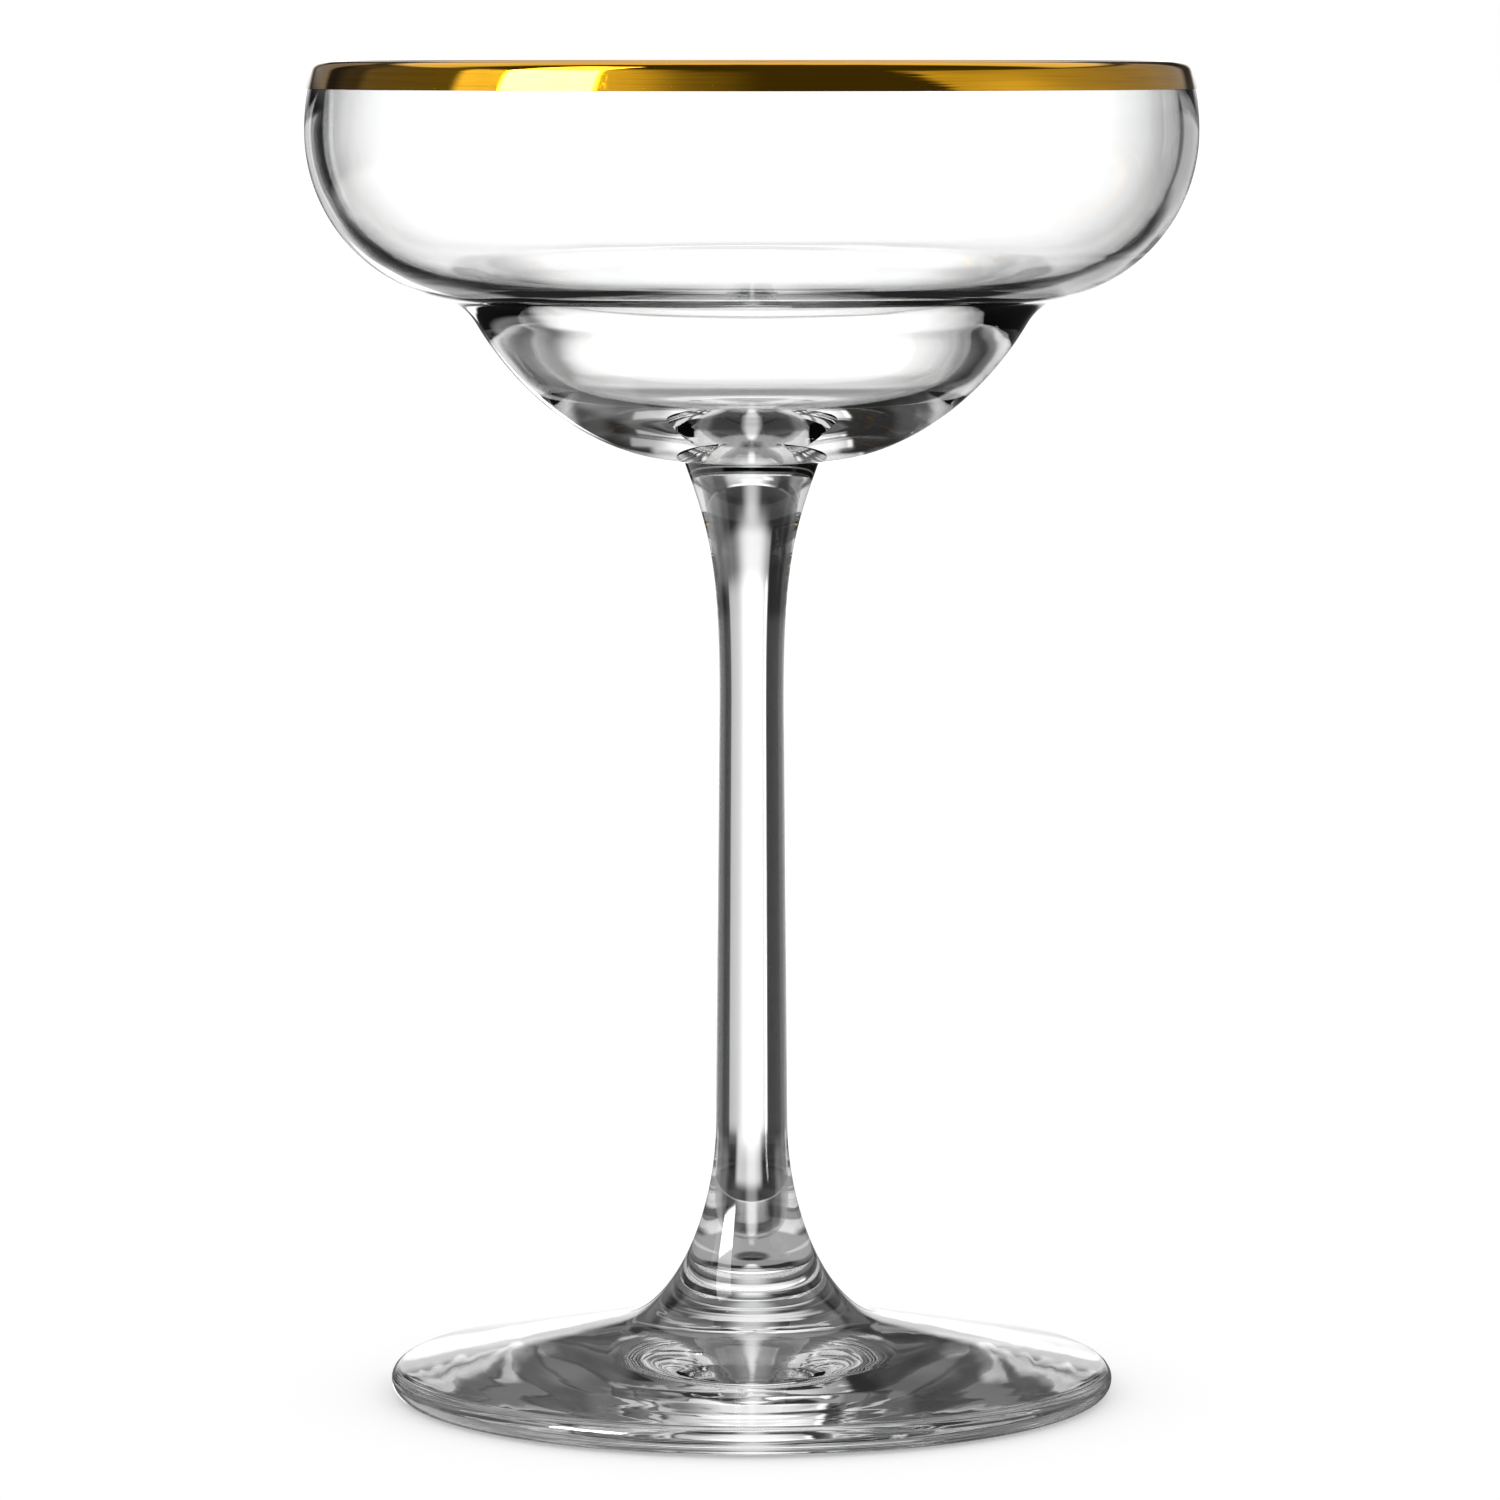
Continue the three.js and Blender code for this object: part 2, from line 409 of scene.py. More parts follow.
    def build(self, materials: Sequence[bpy.types.Material]) -> bpy.types.Object:
        """The bowl, from the axis along its joint, up the outside, over the lip and down the inside.

        Args:
            materials: The clear glass and the fused seam.

        Returns:
            The finished bowl.
        """
        joint_z = self.glass.bowl_joint_z
        edge = np.array((self.glass.bowl_joint_radius, joint_z))
        floor = np.array((0.0, joint_z + self.floor_wall))
        seam = line((0.0, joint_z), edge, SEAM_STEPS)
        outside = self.lower_wall(self.outer, edge)[::-1]
        inside = self.lower_wall(self.inner, floor)
        free = chain(outside, *self.lip(), inside)
        return TurnedPiece(
            name="bowl_glass",
            node="bowl",
            slot="clear_glass",
            outline=chain(seam, free),
            kinds=kinds_of((seam, Face.FUSED), (free, Face.FREE)),
            materials=materials,
        ).build()


@dataclass
class GoldLine:
    """The gold film over the lip, on the outline of the bowl that it is fired on."""

    bowl: Bowl
    film: float = 0.15 * MM
    seat: float = 0.02 * MM

    def build(self, material: bpy.types.Material) -> bpy.types.Object:
        """The film, as the gilded stretch of the lip moved off the glass twice and closed.

        Args:
            material: The fired gold.

        Returns:
            The finished gold line.
        """
        _, outside, rounding, inside, _ = self.bowl.lip()
        gilded = chain(outside, rounding, inside)
        face = moved_out(gilded, self.seat + self.film)
        back = moved_out(gilded, self.seat)[::-1]
        outline = np.vstack((face, back, face[:1]))
        return TurnedPiece(
            name="gold_line",
            node="gold_rim",
            slot="fired_gold",
            outline=outline,
            kinds=kinds_of((outline, Face.FREE)),
            materials=(material,),
        ).build()


@dataclass
class Stem:
    """The waisted stem, flared at both ends."""

    glass: Glass
    waist_radius: float = 3.8 * MM
    ankle_radius: float = 4.25 * MM
    upper_flare: float = 28.4 * MM
    lower_flare: float = 19.8 * MM
    upper_lean: float = math.radians(20.0)
    bowl_pull: float = 0.295
    waist_pull: float = 0.56
    ankle_pull: float = 0.36
    foot_pull: float = 0.237

    FLARE_STEPS: ClassVar[int] = 60
    TAPER_STEPS: ClassVar[int] = 24

    def build(self, materials: Sequence[bpy.types.Material]) -> bpy.types.Object:
        """The stem, from the foot's joint to the bowl's, as two cubic flares and a straight taper.

        Args:
            materials: The clear glass and the fused seam.

        Returns:
            The finished stem.
        """
        glass = self.glass
        foot = np.array((glass.foot_joint_radius, glass.foot_joint_z))
        ankle = np.array((self.ankle_radius, glass.foot_joint_z + self.lower_flare))
        waist = np.array((self.waist_radius, glass.bowl_joint_z - self.upper_flare))
        bowl = np.array((glass.bowl_joint_radius, glass.bowl_joint_z))
        foot_way = np.array((-math.tan(glass.foot_joint_lean), 1.0)) * self.foot_pull * self.lower_flare
        ankle_way = np.array((0.0, -1.0)) * self.ankle_pull * self.lower_flare
        waist_way = np.array((0.0, 1.0)) * self.waist_pull * self.upper_flare
        bowl_way = np.array((-math.tan(self.upper_lean), -1.0)) * self.bowl_pull * self.upper_flare
        low_seam = line((0.0, glass.foot_joint_z), foot, SEAM_STEPS)
        high_seam = line(bowl, (0.0, glass.bowl_joint_z), SEAM_STEPS)
        shaft = chain(
            bezier((foot, foot + foot_way, ankle + ankle_way, ankle), self.FLARE_STEPS),
            line(ankle, waist, self.TAPER_STEPS),
            bezier((waist, waist + waist_way, bowl + bowl_way, bowl), self.FLARE_STEPS),
        )
        return TurnedPiece(
            name="stem_glass",
            node="stem",
            slot="clear_glass",
            outline=chain(low_seam, shaft, high_seam),
            kinds=kinds_of((low_seam, Face.FUSED), (shaft, Face.FREE), (high_seam, Face.FUSED)),
            materials=materials,
        ).build()


@dataclass
class Foot:
    """The round foot: a hub, a shallow cone, a rounded edge, a standing ring and a hollow under it."""

    glass: Glass
    slope: float = math.radians(11.4)
    edge_round: float = 1.72 * MM
    ring_width: float = 7.2 * MM
    hollow_depth: float = 0.8 * MM
    hollow_fullness: float = 0.36
    hub_radius: float = 15.8 * MM
    joint_pull: float = 0.285
    hub_pull: float = 0.38

    HOLLOW_STEPS: ClassVar[int] = 48
    RING_STEPS: ClassVar[int] = 4
    EDGE_STEPS: ClassVar[int] = 40
    CONE_STEPS: ClassVar[int] = 40
    HUB_STEPS: ClassVar[int] = 32

    def build(self, materials: Sequence[bpy.types.Material]) -> bpy.types.Object:
        """The foot, from the top of its hollow out to the ring, round the edge and up to the joint.

        The hollow is a parabola, the edge a circle, the cone straight and the hub a cubic curve.

        Args:
            materials: The clear glass and the fused seam.

        Returns:
            The finished foot.
        """
        glass = self.glass
        centre = (glass.foot_radius - self.edge_round, self.edge_round)
        ring_inner = np.array((centre[0] - self.ring_width, 0.0))
        ring_outer = np.array((centre[0], 0.0))
        top = (0.0, self.hollow_depth)
        shoulder = (ring_inner[0] * self.hollow_fullness, self.hollow_depth)
        hollow = bezier((top, shoulder, ring_inner), self.HOLLOW_STEPS)
        ring = line(ring_inner, ring_outer, self.RING_STEPS)
        edge = arc(centre, self.edge_round, -RIGHT_ANGLE, RIGHT_ANGLE - self.slope, self.EDGE_STEPS)
        rise = (edge[-1, 0] - self.hub_radius) * math.tan(self.slope)
        hub = np.array((self.hub_radius, edge[-1, 1] + rise))
        cone = line(edge[-1], hub, self.CONE_STEPS)
        joint = np.array((glass.foot_joint_radius, glass.foot_joint_z))
        width = self.hub_radius - glass.foot_joint_radius
        hub_way = np.array((-1.0, math.tan(self.slope))) * self.hub_pull * width
        joint_way = np.array((1.0, -1.0 / math.tan(glass.foot_joint_lean))) * self.joint_pull * width
        neck = bezier((hub, hub + hub_way, joint + joint_way, joint), self.HUB_STEPS)
        seam = line(joint, (0.0, glass.foot_joint_z), SEAM_STEPS)
        free = chain(hollow, ring, edge, cone, neck)
        return TurnedPiece(
            name="foot_glass",
            node="foot",
            slot="clear_glass",
            outline=chain(free, seam),
            kinds=kinds_of((free, Face.FREE), (seam, Face.FUSED)),
            materials=materials,
        ).build()


# Finishes


class Graph:
    """A node tree with short ways to add, set and link nodes."""

    def __init__(self, tree: bpy.types.NodeTree) -> None:
        """Clears the tree.

        Args:
            tree: The tree to fill.
        """
        self.tree = tree
        tree.nodes.clear()

    def add(
        self, kind: str, settings: dict[str, object] | None = None, **inputs: object
    ) -> bpy.types.Node:
        """Adds a node, sets its options, and sets or links its inputs.

        Args:
            kind: Blender's name of the node type.
            settings: Options of the node.
            inputs: Values or output sockets by input name, with _ for a space, or by in0, in1 and on.

        Returns:
            The new node.
        """
        node = self.tree.nodes.new(kind)
        for name, value in (settings or {}).items():
            setattr(node, name, value)
        for name, value in inputs.items():
            number = name.removeprefix("in")
            socket = node.inputs[int(number) if number.isdigit() else name.replace("_", " ")]
            if isinstance(value, bpy.types.NodeSocket):
                self.tree.links.new(value, socket)
            else:
                socket.default_value = value
        return node

    def math(self, operation: str, *values: object) -> bpy.types.NodeSocket:
        """A Math node's result for up to three values or sockets."""
        inputs = {f"in{i}": value for i, value in enumerate(values)}
        return self.add("ShaderNodeMath", {"operation": operation}, **inputs).outputs[0]

    def smooth(
        self, value: object, low: float, high: float, start: float = 0.0, end: float = 1.0
    ) -> bpy.types.NodeSocket:
        """A smooth step from start to end while value runs from low to high.

        Args:
            value: The value or socket that runs.
            low: Where the step starts.
            high: Where the step ends.
            start: Result at low and below it.
            end: Result at high and above it.

        Returns:
            The result's socket.
        """
        ramp = self.add(
            "ShaderNodeMapRange",
            {"interpolation_type": "SMOOTHSTEP"},
            Value=value, From_Min=low, From_Max=high, To_Min=start, To_Max=end,
        )
        return ramp.outputs["Result"]

    # A Mix node takes the share as input 0, numbers as inputs 2 and 3, and colours as inputs 6 and 7

    def mix(self, share: object, first: object, second: object) -> bpy.types.NodeSocket:
        """The number that lies the given share of the way from first to second."""
        node = self.add("ShaderNodeMix", {"data_type": "FLOAT"}, in0=share, in2=first, in3=second)
        return node.outputs[0]

    def blend(self, share: object, first: Colour, second: Colour) -> bpy.types.NodeSocket:
        """The colour that lies the given share of the way from first to second."""
        ends = {"in6": (*first, 1.0), "in7": (*second, 1.0)}
        return self.add("ShaderNodeMix", {"data_type": "RGBA"}, in0=share, **ends).outputs[2]

    def bump(
        self, height: bpy.types.NodeSocket, depth: float, over: bpy.types.NodeSocket | None = None
    ) -> bpy.types.NodeSocket:
        """The normal of a surface that is raised by depth times height.

        Args:
            height: The height's socket.
            depth: Metres that a height of one stands for.
            over: Normal of the bump that this one lies on, if any.

        Returns:
            The normal's socket.
        """
        under = {} if over is None else {"Normal": over}
        node = self.add("ShaderNodeBump", Strength=1.0, Distance=depth, Height=height, **under)
        return node.outputs["Normal"]


def new_material(name: str) -> tuple[bpy.types.Material, Graph]:
    """A material with an empty node tree, and the graph that fills it.

    Args:
        name: The material's name.

    Returns:
        The material and its graph.
    """
    material = bpy.data.materials.new(name)
    material.use_nodes = True
    return material, Graph(material.node_tree)


class HandFinish:
    """Node group for hand-made surfaces: slow ripples, faint handling marks and rings from spinning."""

    NAME = "hand_finish"
    INPUTS = ("Ripple Scale", "Mark Scale", "Ring Scale")
    OUTPUTS = ("Ripple", "Marks", "Rings")
    RIPPLE_NOISE = {"Detail": 1.0, "Roughness": 0.4}
    MARK_NOISE = {"Detail": 5.0, "Roughness": 0.62, "Distortion": 0.4}
    RING_NOISE = {"Scale": 1.0, "Detail": 1.0, "Roughness": 0.45, "Distortion": 0.3}
    MARK_START = 0.56
    MARK_FULL = 0.78

    @classmethod
    def tree(cls) -> bpy.types.NodeTree:
        """The group, built once.

        Ripples and marks are noise in space. Rings are noise along radius plus height, drawn out round
        the axis.

        Returns:
            A shader node group with inputs Ripple Scale, Mark Scale and Ring Scale, and outputs Ripple,
            Marks and Rings.
        """
        existing = bpy.data.node_groups.get(cls.NAME)
        if existing:
            return existing
        tree = bpy.data.node_groups.new(cls.NAME, "ShaderNodeTree")
        graph = Graph(tree)
        for name in cls.INPUTS:
            tree.interface.new_socket(name=name, in_out="INPUT", socket_type="NodeSocketFloat")
        for name in cls.OUTPUTS:
            tree.interface.new_socket(name=name, in_out="OUTPUT", socket_type="NodeSocketFloat")
        given = graph.add("NodeGroupInput").outputs
        place = graph.add("ShaderNodeTexCoord").outputs["Object"]
        ripple = graph.add(
            "ShaderNodeTexNoise", Vector=place, Scale=given["Ripple Scale"], **cls.RIPPLE_NOISE
        )
        marks = graph.add("ShaderNodeTexNoise", Vector=place, Scale=given["Mark Scale"], **cls.MARK_NOISE)
        patches = graph.smooth(marks.outputs["Fac"], cls.MARK_START, cls.MARK_FULL)
        part = graph.add("ShaderNodeSeparateXYZ", Vector=place).outputs
        flat = graph.add("ShaderNodeCombineXYZ", X=part["X"], Y=part["Y"]).outputs["Vector"]
        radius = graph.add("ShaderNodeVectorMath", {"operation": "LENGTH"}, in0=flat).outputs["Value"]
        around = graph.add("ShaderNodeVectorMath", {"operation": "NORMALIZE"}, in0=flat).outputs["Vector"]
        turn = graph.add("ShaderNodeSeparateXYZ", Vector=around).outputs
        along = graph.math("MULTIPLY", graph.math("ADD", radius, part["Z"]), given["Ring Scale"])
        ring_place = graph.add("ShaderNodeCombineXYZ", X=turn["X"], Y=turn["Y"], Z=along).outputs["Vector"]
        rings = graph.add("ShaderNodeTexNoise", Vector=ring_place, **cls.RING_NOISE)
        graph.add(
            "NodeGroupOutput", Ripple=ripple.outputs["Fac"], Marks=patches, Rings=rings.outputs["Fac"]
        )
        return tree

    @classmethod
    def place(
        cls, graph: Graph, ripple_scale: float, mark_scale: float, ring_scale: float
    ) -> bpy.types.NodeOutputs:
        """Puts the group into a material with the material's own values.

        Args:
            graph: The material's nodes.
            ripple_scale: Ripples per metre.
            mark_scale: Marks per metre.
            ring_scale: Rings per metre.

        Returns:
            The outputs Ripple, Marks and Rings.
        """
        scales = {"Ripple_Scale": ripple_scale, "Mark_Scale": mark_scale, "Ring_Scale": ring_scale}
        return graph.add("ShaderNodeGroup", {"node_tree": cls.tree()}, **scales).outputs


@dataclass(frozen=True)
class ClearGlass:
    """Colourless fire-polished glass, with slow ripples, fine rings and a dull ring where it stands."""

    name: str = "clear_glass"
    tint: Colour = (0.993, 0.997, 0.995)
    ior: float = 1.52
    ripple_scale: float = 75.0
    ripple_height: float = 0.02 * MM
    ring_scale: float = 260.0
    ring_depth: float = 0.01 * MM
    mark_scale: float = 420.0
    mark_roughness: float = 0.035
    stand_height: float = 0.35 * MM
    stand_roughness: float = 0.02

    def material(self) -> bpy.types.Material:
        """The material.

        Returns:
            A glass whose roughness and bump come from its nodes.
        """
        material, graph = new_material(self.name)
        finish = HandFinish.place(graph, self.ripple_scale, self.mark_scale, self.ring_scale)
        place = graph.add("ShaderNodeTexCoord").outputs["Object"]
        height = graph.add("ShaderNodeSeparateXYZ", Vector=place).outputs["Z"]
        stand = graph.smooth(height, 0.0, self.stand_height, self.stand_roughness, 0.0)
        marks = graph.math("MULTIPLY", finish["Marks"], self.mark_roughness)
        rings = graph.bump(finish["Rings"], self.ring_depth)
        shader = graph.add(
            "ShaderNodeBsdfPrincipled",
            Base_Color=(*self.tint, 1.0),
            IOR=self.ior,
            Transmission_Weight=1.0,
            Metallic=0.0,
            Roughness=graph.math("MAXIMUM", marks, stand),
            Normal=graph.bump(finish["Ripple"], self.ripple_height, rings),
        )
        graph.add("ShaderNodeOutputMaterial", Surface=shader.outputs["BSDF"])
        return material


@dataclass(frozen=True)
class FusedSeam:
    """The plane where two pieces of glass are melted together, which light passes unchanged."""

    name: str = "fused_seam"

    def material(self) -> bpy.types.Material:
        """The material.

        Returns:
            A surface that neither bends nor mirrors.
        """
        material, graph = new_material(self.name)
        shader = graph.add("ShaderNodeBsdfTransparent")
        graph.add("ShaderNodeOutputMaterial", Surface=shader.outputs["BSDF"])
        return material


@dataclass(frozen=True)
class FiredGold:
    """Bright gold, brushed on round the lip and fired: fine brush lines and thinner, darker streaks."""

    name: str = "fired_gold"
    colour: Colour = (0.79, 0.395, 0.004)
    thin_colour: Colour = (0.67, 0.33, 0.003)
    glaze: float = 1.0
    glaze_ior: float = 1.25
    glaze_roughness: float = 0.02
    roughness: float = 0.05
    mark_roughness: float = 0.08
    ripple_scale: float = 160.0
    mark_scale: float = 900.0
    ring_scale: float = 0.0
    ripple_height: float = 0.03 * MM
    brush_scale: float = 60.0
    brush_squeeze: float = 70.0
    brush_detail: float = 3.0
    brush_grain: float = 0.6
    brush_height: float = 0.006 * MM
    thin_start: float = 0.35
    thin_full: float = 0.7

    def material(self) -> bpy.types.Material:
        """The material.

        Returns:
            A metal whose colour, roughness and bump come from its nodes.
        """
        material, graph = new_material(self.name)
        finish = HandFinish.place(graph, self.ripple_scale, self.mark_scale, self.ring_scale)
        place = graph.add("ShaderNodeTexCoord").outputs["Object"]
        squeezed = graph.add("ShaderNodeMapping", Vector=place, Scale=(1.0, 1.0, self.brush_squeeze))
        brush = graph.add(
            "ShaderNodeTexNoise",
            Vector=squeezed.outputs["Vector"],
            Scale=self.brush_scale,
            Detail=self.brush_detail,
            Roughness=self.brush_grain,
        ).outputs["Fac"]
        thin = graph.smooth(brush, self.thin_start, self.thin_full)
        lines = graph.bump(brush, self.brush_height)
        shader = graph.add(
            "ShaderNodeBsdfPrincipled",
            Base_Color=graph.blend(thin, self.colour, self.thin_colour),
            Metallic=1.0,
            Roughness=graph.math("MULTIPLY_ADD", finish["Marks"], self.mark_roughness, self.roughness),
            Normal=graph.bump(finish["Ripple"], self.ripple_height, lines),
            Coat_Weight=self.glaze,
            Coat_IOR=self.glaze_ior,
            Coat_Roughness=self.glaze_roughness,
        )
        graph.add("ShaderNodeOutputMaterial", Surface=shader.outputs["BSDF"])
        return material


# Stage


@dataclass(frozen=True)
class Panel:
    """A soft-edged light or card far away, in degrees of bearing and height as seen from the glass.

    The bearing is counted from straight behind the glass, positive to the right. The side edges fade
    over soft to both sides, the left one over left_soft where that is given, and the top and bottom edges
    over fade. Shear leans the sides by so many degrees per degree of height, and copies of the panel
    stand at equal turns all round. A mirrored ray gets the share mirrored of the light, and a ray that
    comes out of glass gets the share through.
    """

    light: float
    half_width: float
    low: float
    high: float
    bearing: float = 0.0
    soft: float = 2.0
    left_soft: float = 0.0
    fade: float = 2.0
    copies: int = 1
    shear: float = 0.0
    mirrored: float = 1.0
    through: float = 1.0

    HALF_TURN: ClassVar[float] = 180.0

    def mask(
        self,
        graph: Graph,
        bearing: bpy.types.NodeSocket,
        height: bpy.types.NodeSocket,
        passed: bpy.types.NodeSocket,
    ) -> bpy.types.NodeSocket:
        """The panel's light in a direction.

        Args:
            graph: The world's nodes.
            bearing: Bearing of the direction in degrees.
            height: Angle of the direction above the horizon in degrees.
            passed: One for a ray that comes out of glass, zero for a mirrored one.

        Returns:
            The panel's light, falling to zero over its soft edges.
        """
        half_turn = self.HALF_TURN / self.copies
        middle = graph.math("MULTIPLY_ADD", height, self.shear, self.bearing - self.shear * self.high)
        turned = graph.math("WRAP", graph.math("SUBTRACT", bearing, middle), half_turn, -half_turn)
        left_soft = self.left_soft or self.soft
        from_left = graph.smooth(turned, -self.half_width - left_soft, -self.half_width + left_soft)
        to_right = graph.smooth(turned, self.half_width - self.soft, self.half_width + self.soft, 1.0, 0.0)
        across = graph.math("MULTIPLY", from_left, to_right)
        above = graph.smooth(height, self.low - self.fade, self.low + self.fade)
        below = graph.smooth(height, self.high - self.fade, self.high + self.fade, 1.0, 0.0)
        inside = graph.math("MULTIPLY", graph.math("MULTIPLY", across, above), below)
        share = (self.through - self.mirrored) * self.light
        strength = graph.math("MULTIPLY_ADD", passed, share, self.mirrored * self.light)
        return graph.math("MULTIPLY", inside, strength)


def alike(*panels: Panel, **shared: float) -> tuple[Panel, ...]:
    """A group of panels, each with the values that the group shares.

    Args:
        panels: The panels.
        shared: The shared values by field.

    Returns:
        The panels with those values.
    """
    return tuple(replace(panel, **shared) for panel in panels)


@dataclass(frozen=True)
class Studio:
    """Plain studio: a white backdrop, dark gaps beside it and soft panels all round."""

    fill: float = 0.9
    gap: float = 0.02

    # White card behind the glass, brightest in the middle and along a thin strip at its left edge
    card: tuple[Panel, ...] = alike(
        Panel(light=0.30, bearing=1.0, half_width=19.5, low=-10.3, high=12.0, soft=20.0, left_soft=1.5),
        Panel(light=0.45, bearing=-1.0, half_width=10.0, low=-11.5, high=15.0, soft=6.5, fade=4.0),
        Panel(light=0.30, bearing=5.3, half_width=23.8, low=-10.3, high=3.0, soft=1.2),
        Panel(light=0.50, bearing=-17.2, half_width=1.4, low=-10.3, high=3.0, soft=0.7),
        mirrored=0.1,
    )
    # Narrower card below it, which only rays through the glass see
    low_card: tuple[Panel, ...] = (
        Panel(light=0.62, bearing=3.5, half_width=13.5, low=-22.5, high=-10.3, soft=3.0, mirrored=0.0),
    )
    # Fainter cards on all four sides
    side_cards: tuple[Panel, ...] = alike(
        Panel(light=0.22, bearing=-1.0, half_width=14.0, low=-14.5, high=13.0, soft=6.0),
        Panel(light=0.12, bearing=5.0, half_width=24.0, low=-13.0, high=3.0),
        fade=3.0,
        copies=4,
        mirrored=0.1,
    )
    # The card and the sky as the foot and the lip mirror them
    mirrored_cards: tuple[Panel, ...] = alike(
        Panel(light=1.50, half_width=14.0, low=1.0, high=13.0, soft=5.0, fade=1.8),
        Panel(light=1.20, half_width=6.0, low=-12.0, high=1.0, soft=3.0, fade=1.8),
        Panel(light=1.00, half_width=80.0, low=36.0, high=88.0, soft=8.0, fade=3.0),
        through=0.0,
    )
    # Upright strips over and under the cards
    strips: tuple[Panel, ...] = (
        Panel(light=0.50, half_width=4.5, low=14.0, high=66.0, soft=3.8, fade=3.0, copies=4, mirrored=0.0),
        Panel(light=0.25, half_width=5.0, low=-65.0, high=-13.0, soft=3.0, fade=3.0, copies=4),
        Panel(light=0.40, half_width=5.0, low=-65.0, high=-40.0, soft=3.0, fade=4.0),
    )
    # Pale walls and ceiling
    walls: tuple[Panel, ...] = (
        Panel(light=0.07, bearing=180.0, half_width=134.5, low=-95.0, high=95.0, soft=5.0, mirrored=0.5),
        Panel(light=0.12, half_width=57.0, low=22.0, high=80.0, soft=8.0, fade=6.0, mirrored=0.3),
    )
    # Room and table as rays through the glass see them, so that it looks clear from other sides
    seen_through: tuple[Panel, ...] = alike(
        Panel(light=0.72, bearing=180.0, half_width=62.0, low=-38.0, high=9.0, soft=6.0),
        Panel(light=0.60, bearing=90.0, half_width=28.0, low=-27.0, high=-12.0, soft=4.0, copies=2),
        Panel(light=0.12, bearing=46.0, half_width=16.0, low=-38.0, high=-14.0, soft=5.0),
        Panel(light=0.12, bearing=-46.0, half_width=16.0, low=-38.0, high=-14.0, soft=5.0),
        Panel(light=0.28, bearing=180.0, half_width=142.0, low=-78.0, high=-38.0, soft=5.0),
        Panel(light=0.28, half_width=38.0, low=-78.0, high=-54.0, soft=5.0),
        Panel(light=0.50, bearing=90.0, half_width=14.0, low=-12.0, high=13.0, soft=5.0, copies=2),
        fade=3.0,
        mirrored=0.0,
    )
    # Lamp on the left that makes the gold's bright patch
    lamp: tuple[Panel, ...] = alike(
        Panel(light=34.0, half_width=13.5, low=17.0, high=32.0, through=0.004),
        Panel(light=5.00, half_width=13.5, low=32.0, high=60.0, through=0.02),
        bearing=-124.3,
        soft=1.0,
        fade=1.5,
    )
    # Glow beside the lamp
    lamp_glow: tuple[Panel, ...] = alike(
        Panel(light=1.20, bearing=-103.0, half_width=7.0, low=12.0, high=32.0),
        Panel(light=0.75, bearing=-139.0, half_width=14.0, low=8.0, high=40.0, soft=14.0),
        Panel(light=0.14, bearing=-158.0, half_width=17.0, low=4.0, high=31.0, soft=10.0),
        through=0.1,
    )
    # Dim cards that shade the rest of the gold
    gold_cards: tuple[Panel, ...] = alike(
        Panel(light=0.09, bearing=-80.0, half_width=22.0, low=4.0, high=40.0, soft=3.0),
        Panel(light=0.29, bearing=70.0, half_width=42.0, low=4.0, high=31.0, soft=14.0, left_soft=3.0),
        Panel(light=0.15, bearing=95.0, half_width=20.0, low=4.0, high=31.0, soft=12.0, left_soft=20.0),
        Panel(
            light=0.60,
            bearing=131.0,
            half_width=10.5,
            low=4.0,
            high=31.0,
            soft=1.5,
            left_soft=16.0,
            shear=1.36,
        ),
        through=0.2,
    )
    # Small lights and a bright floor on the left, which draw thin lines on edges by mirroring alone
    edge_lights: tuple[Panel, ...] = alike(
        Panel(light=0.20, bearing=-28.0, half_width=8.0, low=4.0, high=30.0),
        Panel(light=2.50, bearing=-11.0, half_width=3.0, low=-17.0, high=-10.5, soft=1.5, fade=1.0),
        Panel(light=9.00, bearing=133.0, half_width=2.5, low=-16.0, high=8.0, soft=1.0),
        Panel(light=0.90, bearing=-75.0, half_width=45.0, low=-60.0, high=-12.0, soft=5.0),
        through=0.0,
    )

    @property
    def panels(self) -> tuple[Panel, ...]:
        """All panels of the studio."""
        cards = (*self.card, *self.low_card, *self.side_cards, *self.mirrored_cards)
        room = (*self.strips, *self.walls, *self.seen_through)
        return (*cards, *room, *self.lamp, *self.lamp_glow, *self.gold_cards, *self.edge_lights)

    def build(self) -> None:
        """Sets the world: white to the camera, the panels to gold and glass, an even fill to the floor."""
        world = bpy.data.worlds.new("studio")
        world.use_nodes = True
        graph = Graph(world.node_tree)
        direction = graph.add("ShaderNodeTexCoord").outputs["Generated"]
        part = graph.add("ShaderNodeSeparateXYZ", Vector=direction).outputs
        bearing = graph.math("DEGREES", graph.math("ARCTAN2", part["X"], part["Y"]))
        height = graph.math("DEGREES", graph.math("ARCSINE", part["Z"]))
        path = graph.add("ShaderNodeLightPath").outputs
        passed = path[Ray.TRANSMISSION.value]
        light: float | bpy.types.NodeSocket = self.gap
        for panel in self.panels:
            light = graph.math("ADD", light, panel.mask(graph, bearing, height, passed))
        mirrored_or_passed = graph.math("MAXIMUM", path[Ray.GLOSSY.value], passed)
        lit = graph.mix(mirrored_or_passed, self.fill, light)
        strength = graph.mix(path[Ray.CAMERA.value], lit, 1.0)
        background = graph.add("ShaderNodeBackground", Color=(1.0, 1.0, 1.0, 1.0), Strength=strength)
        graph.add("ShaderNodeOutputWorld", Surface=background.outputs["Background"])
        world.cycles.sampling_method = "NONE"
        bpy.context.scene.world = world


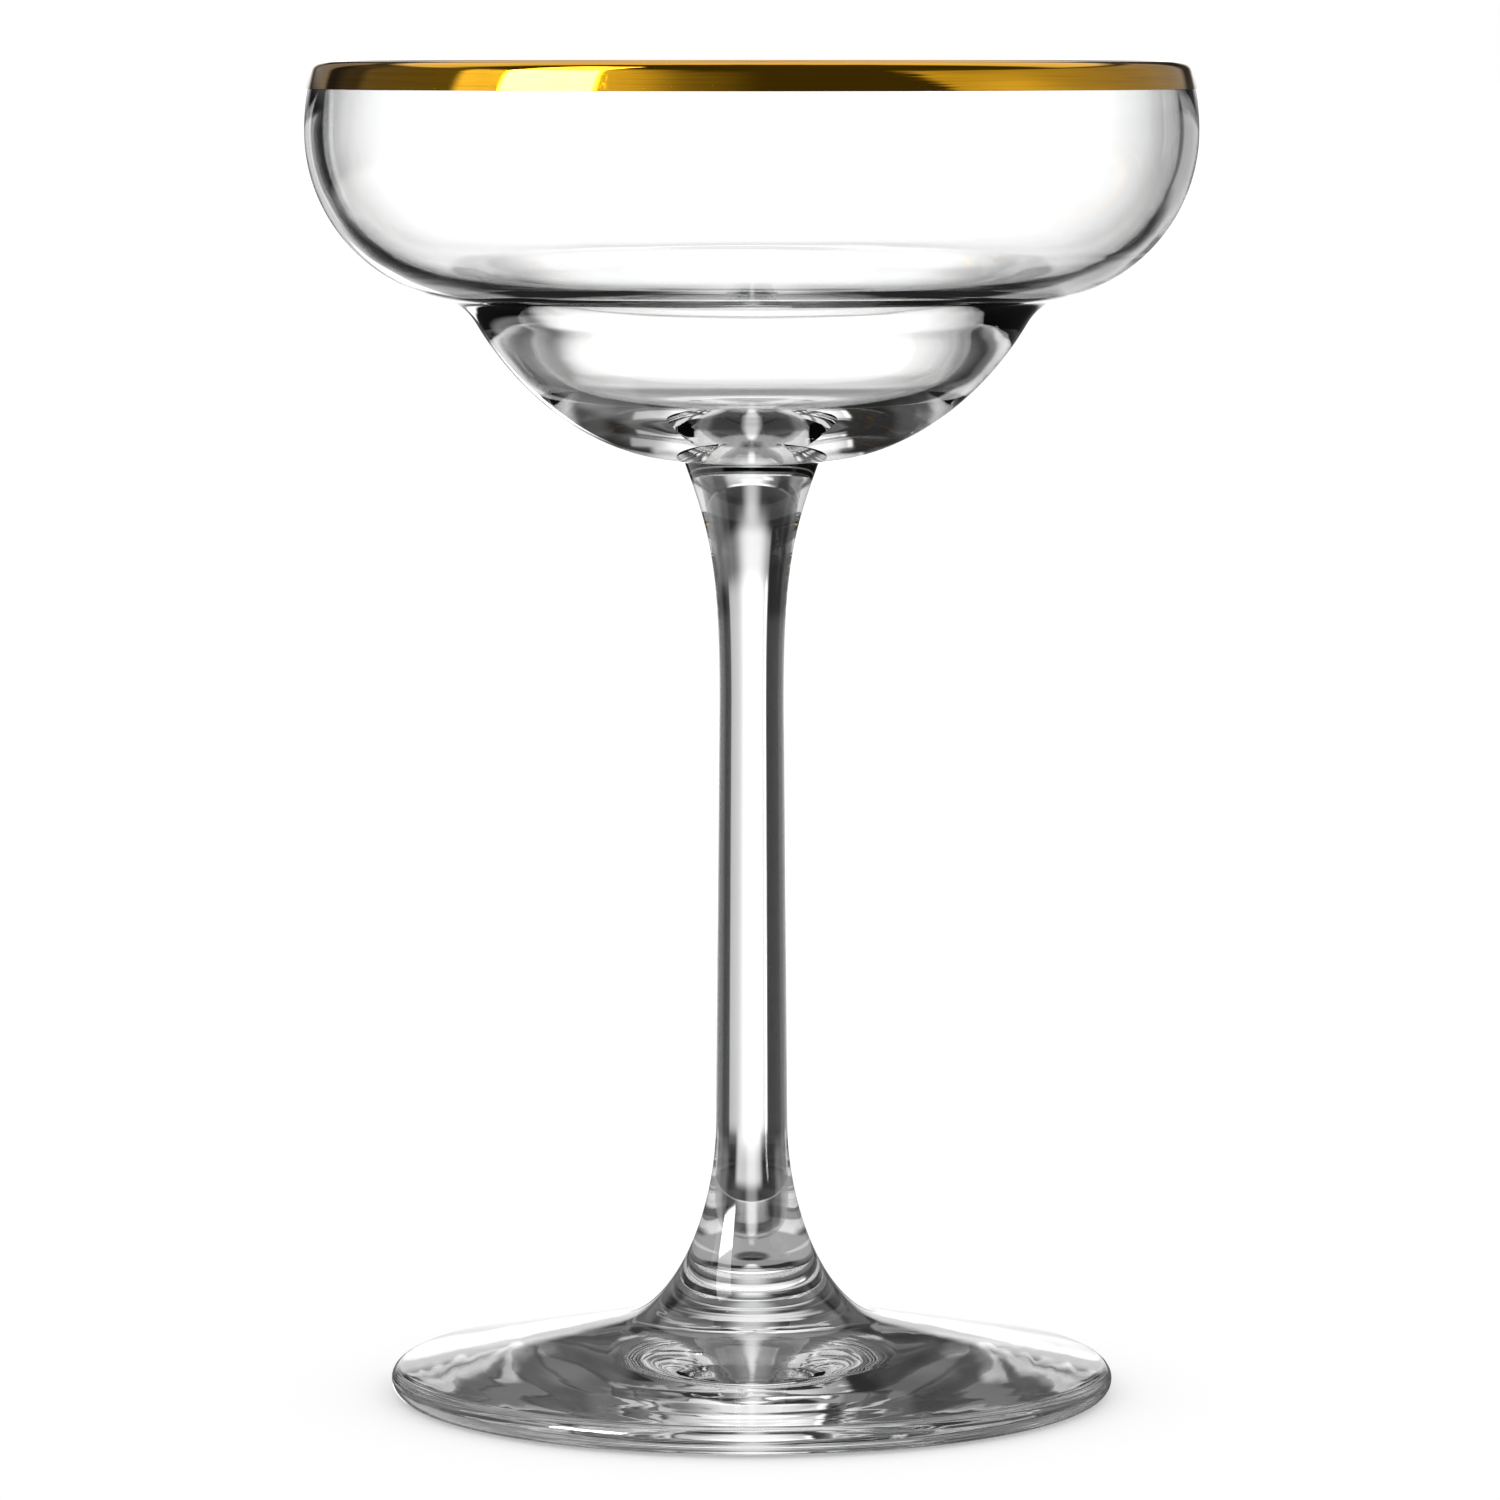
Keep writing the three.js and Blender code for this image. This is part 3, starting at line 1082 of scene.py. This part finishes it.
@dataclass(frozen=True)
class Floor:
    """A plain pale floor that shows the soft shadow of the glass, lifted to white by a glow of its own."""

    half_size: float = 30.0
    drop: float = 0.2 * MM
    colour: Colour = (0.8, 0.8, 0.8)
    glow: float = 0.35

    def build(self) -> bpy.types.Object:
        """The floor, hidden from mirrored and bent rays, which see the studio below the horizon instead.

        Returns:
            The floor's object.
        """
        size, z = self.half_size, -self.drop
        corners = [(-size, -size, z), (size, -size, z), (size, size, z), (-size, size, z)]
        mesh = bpy.data.meshes.new("floor")
        mesh.from_pydata(corners, [], [range(len(corners))])
        material, graph = new_material("pale_floor")
        from_camera = graph.add("ShaderNodeLightPath").outputs[Ray.CAMERA.value]
        matt = graph.add("ShaderNodeBsdfDiffuse", Color=(*self.colour, 1.0)).outputs["BSDF"]
        strength = graph.math("MULTIPLY", from_camera, self.glow)
        glow = graph.add("ShaderNodeEmission", Strength=strength).outputs["Emission"]
        both = graph.add("ShaderNodeAddShader", in0=matt, in1=glow)
        graph.add("ShaderNodeOutputMaterial", Surface=both.outputs["Shader"])
        mesh.materials.append(material)
        floor = bpy.data.objects.new("floor", mesh)
        floor.visible_glossy = False
        floor.visible_transmission = False
        bpy.context.scene.collection.objects.link(floor)
        return floor


@dataclass(frozen=True)
class ViewCamera:
    """The camera: level with the lip, tilted down to the middle of the glass."""

    distance: float = 0.8635
    height: float = 0.16004
    across: float = -0.0002
    tilt: float = math.radians(5.508)
    pixels: float = 7313.0
    frame_pixels: float = 1500.0
    sensor: float = 36.0
    reach: float = 100.0

    def build(self) -> bpy.types.Object:
        """Makes the camera and makes it the scene's own.

        Returns:
            The camera's object.
        """
        data = bpy.data.cameras.new("camera")
        data.sensor_width = self.sensor
        data.lens = self.pixels / self.frame_pixels * self.sensor
        data.clip_end = self.reach
        camera = bpy.data.objects.new("camera", data)
        camera.location = (self.across, -self.distance, self.height)
        camera.rotation_euler = (RIGHT_ANGLE - self.tilt, 0.0, 0.0)
        bpy.context.scene.collection.objects.link(camera)
        bpy.context.scene.camera = camera
        return camera


@dataclass(frozen=True)
class LightPaths:
    """How often a ray may pass a wall of the glass, or be mirrored, before it ends."""

    walls: int = 40
    mirrors: int = 12

    def apply(self) -> None:
        """Sets the scene's light paths and its view transform."""
        cycles = bpy.context.scene.cycles
        cycles.max_bounces = self.walls
        cycles.transmission_bounces = self.walls
        cycles.glossy_bounces = self.mirrors
        bpy.context.scene.view_settings.view_transform = "Standard"


def main() -> None:
    logging.basicConfig(level=logging.INFO, format="%(name)s: %(message)s")
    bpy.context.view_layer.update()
    LightPaths().apply()
    ViewCamera().build()
    Studio().build()
    Floor().build()
    glass = Glass.from_frame()
    seam = FusedSeam().material()
    clear = (ClearGlass().material(), seam)
    spun = (ClearGlass(name="spun_glass", ring_depth=SPUN_RING_DEPTH).material(), seam)
    bowl = Bowl(glass)
    bowl.build(clear)
    GoldLine(bowl).build(FiredGold().material())
    Stem(glass).build(clear)
    Foot(glass).build(spun)


if __name__ == "__main__":
    main()
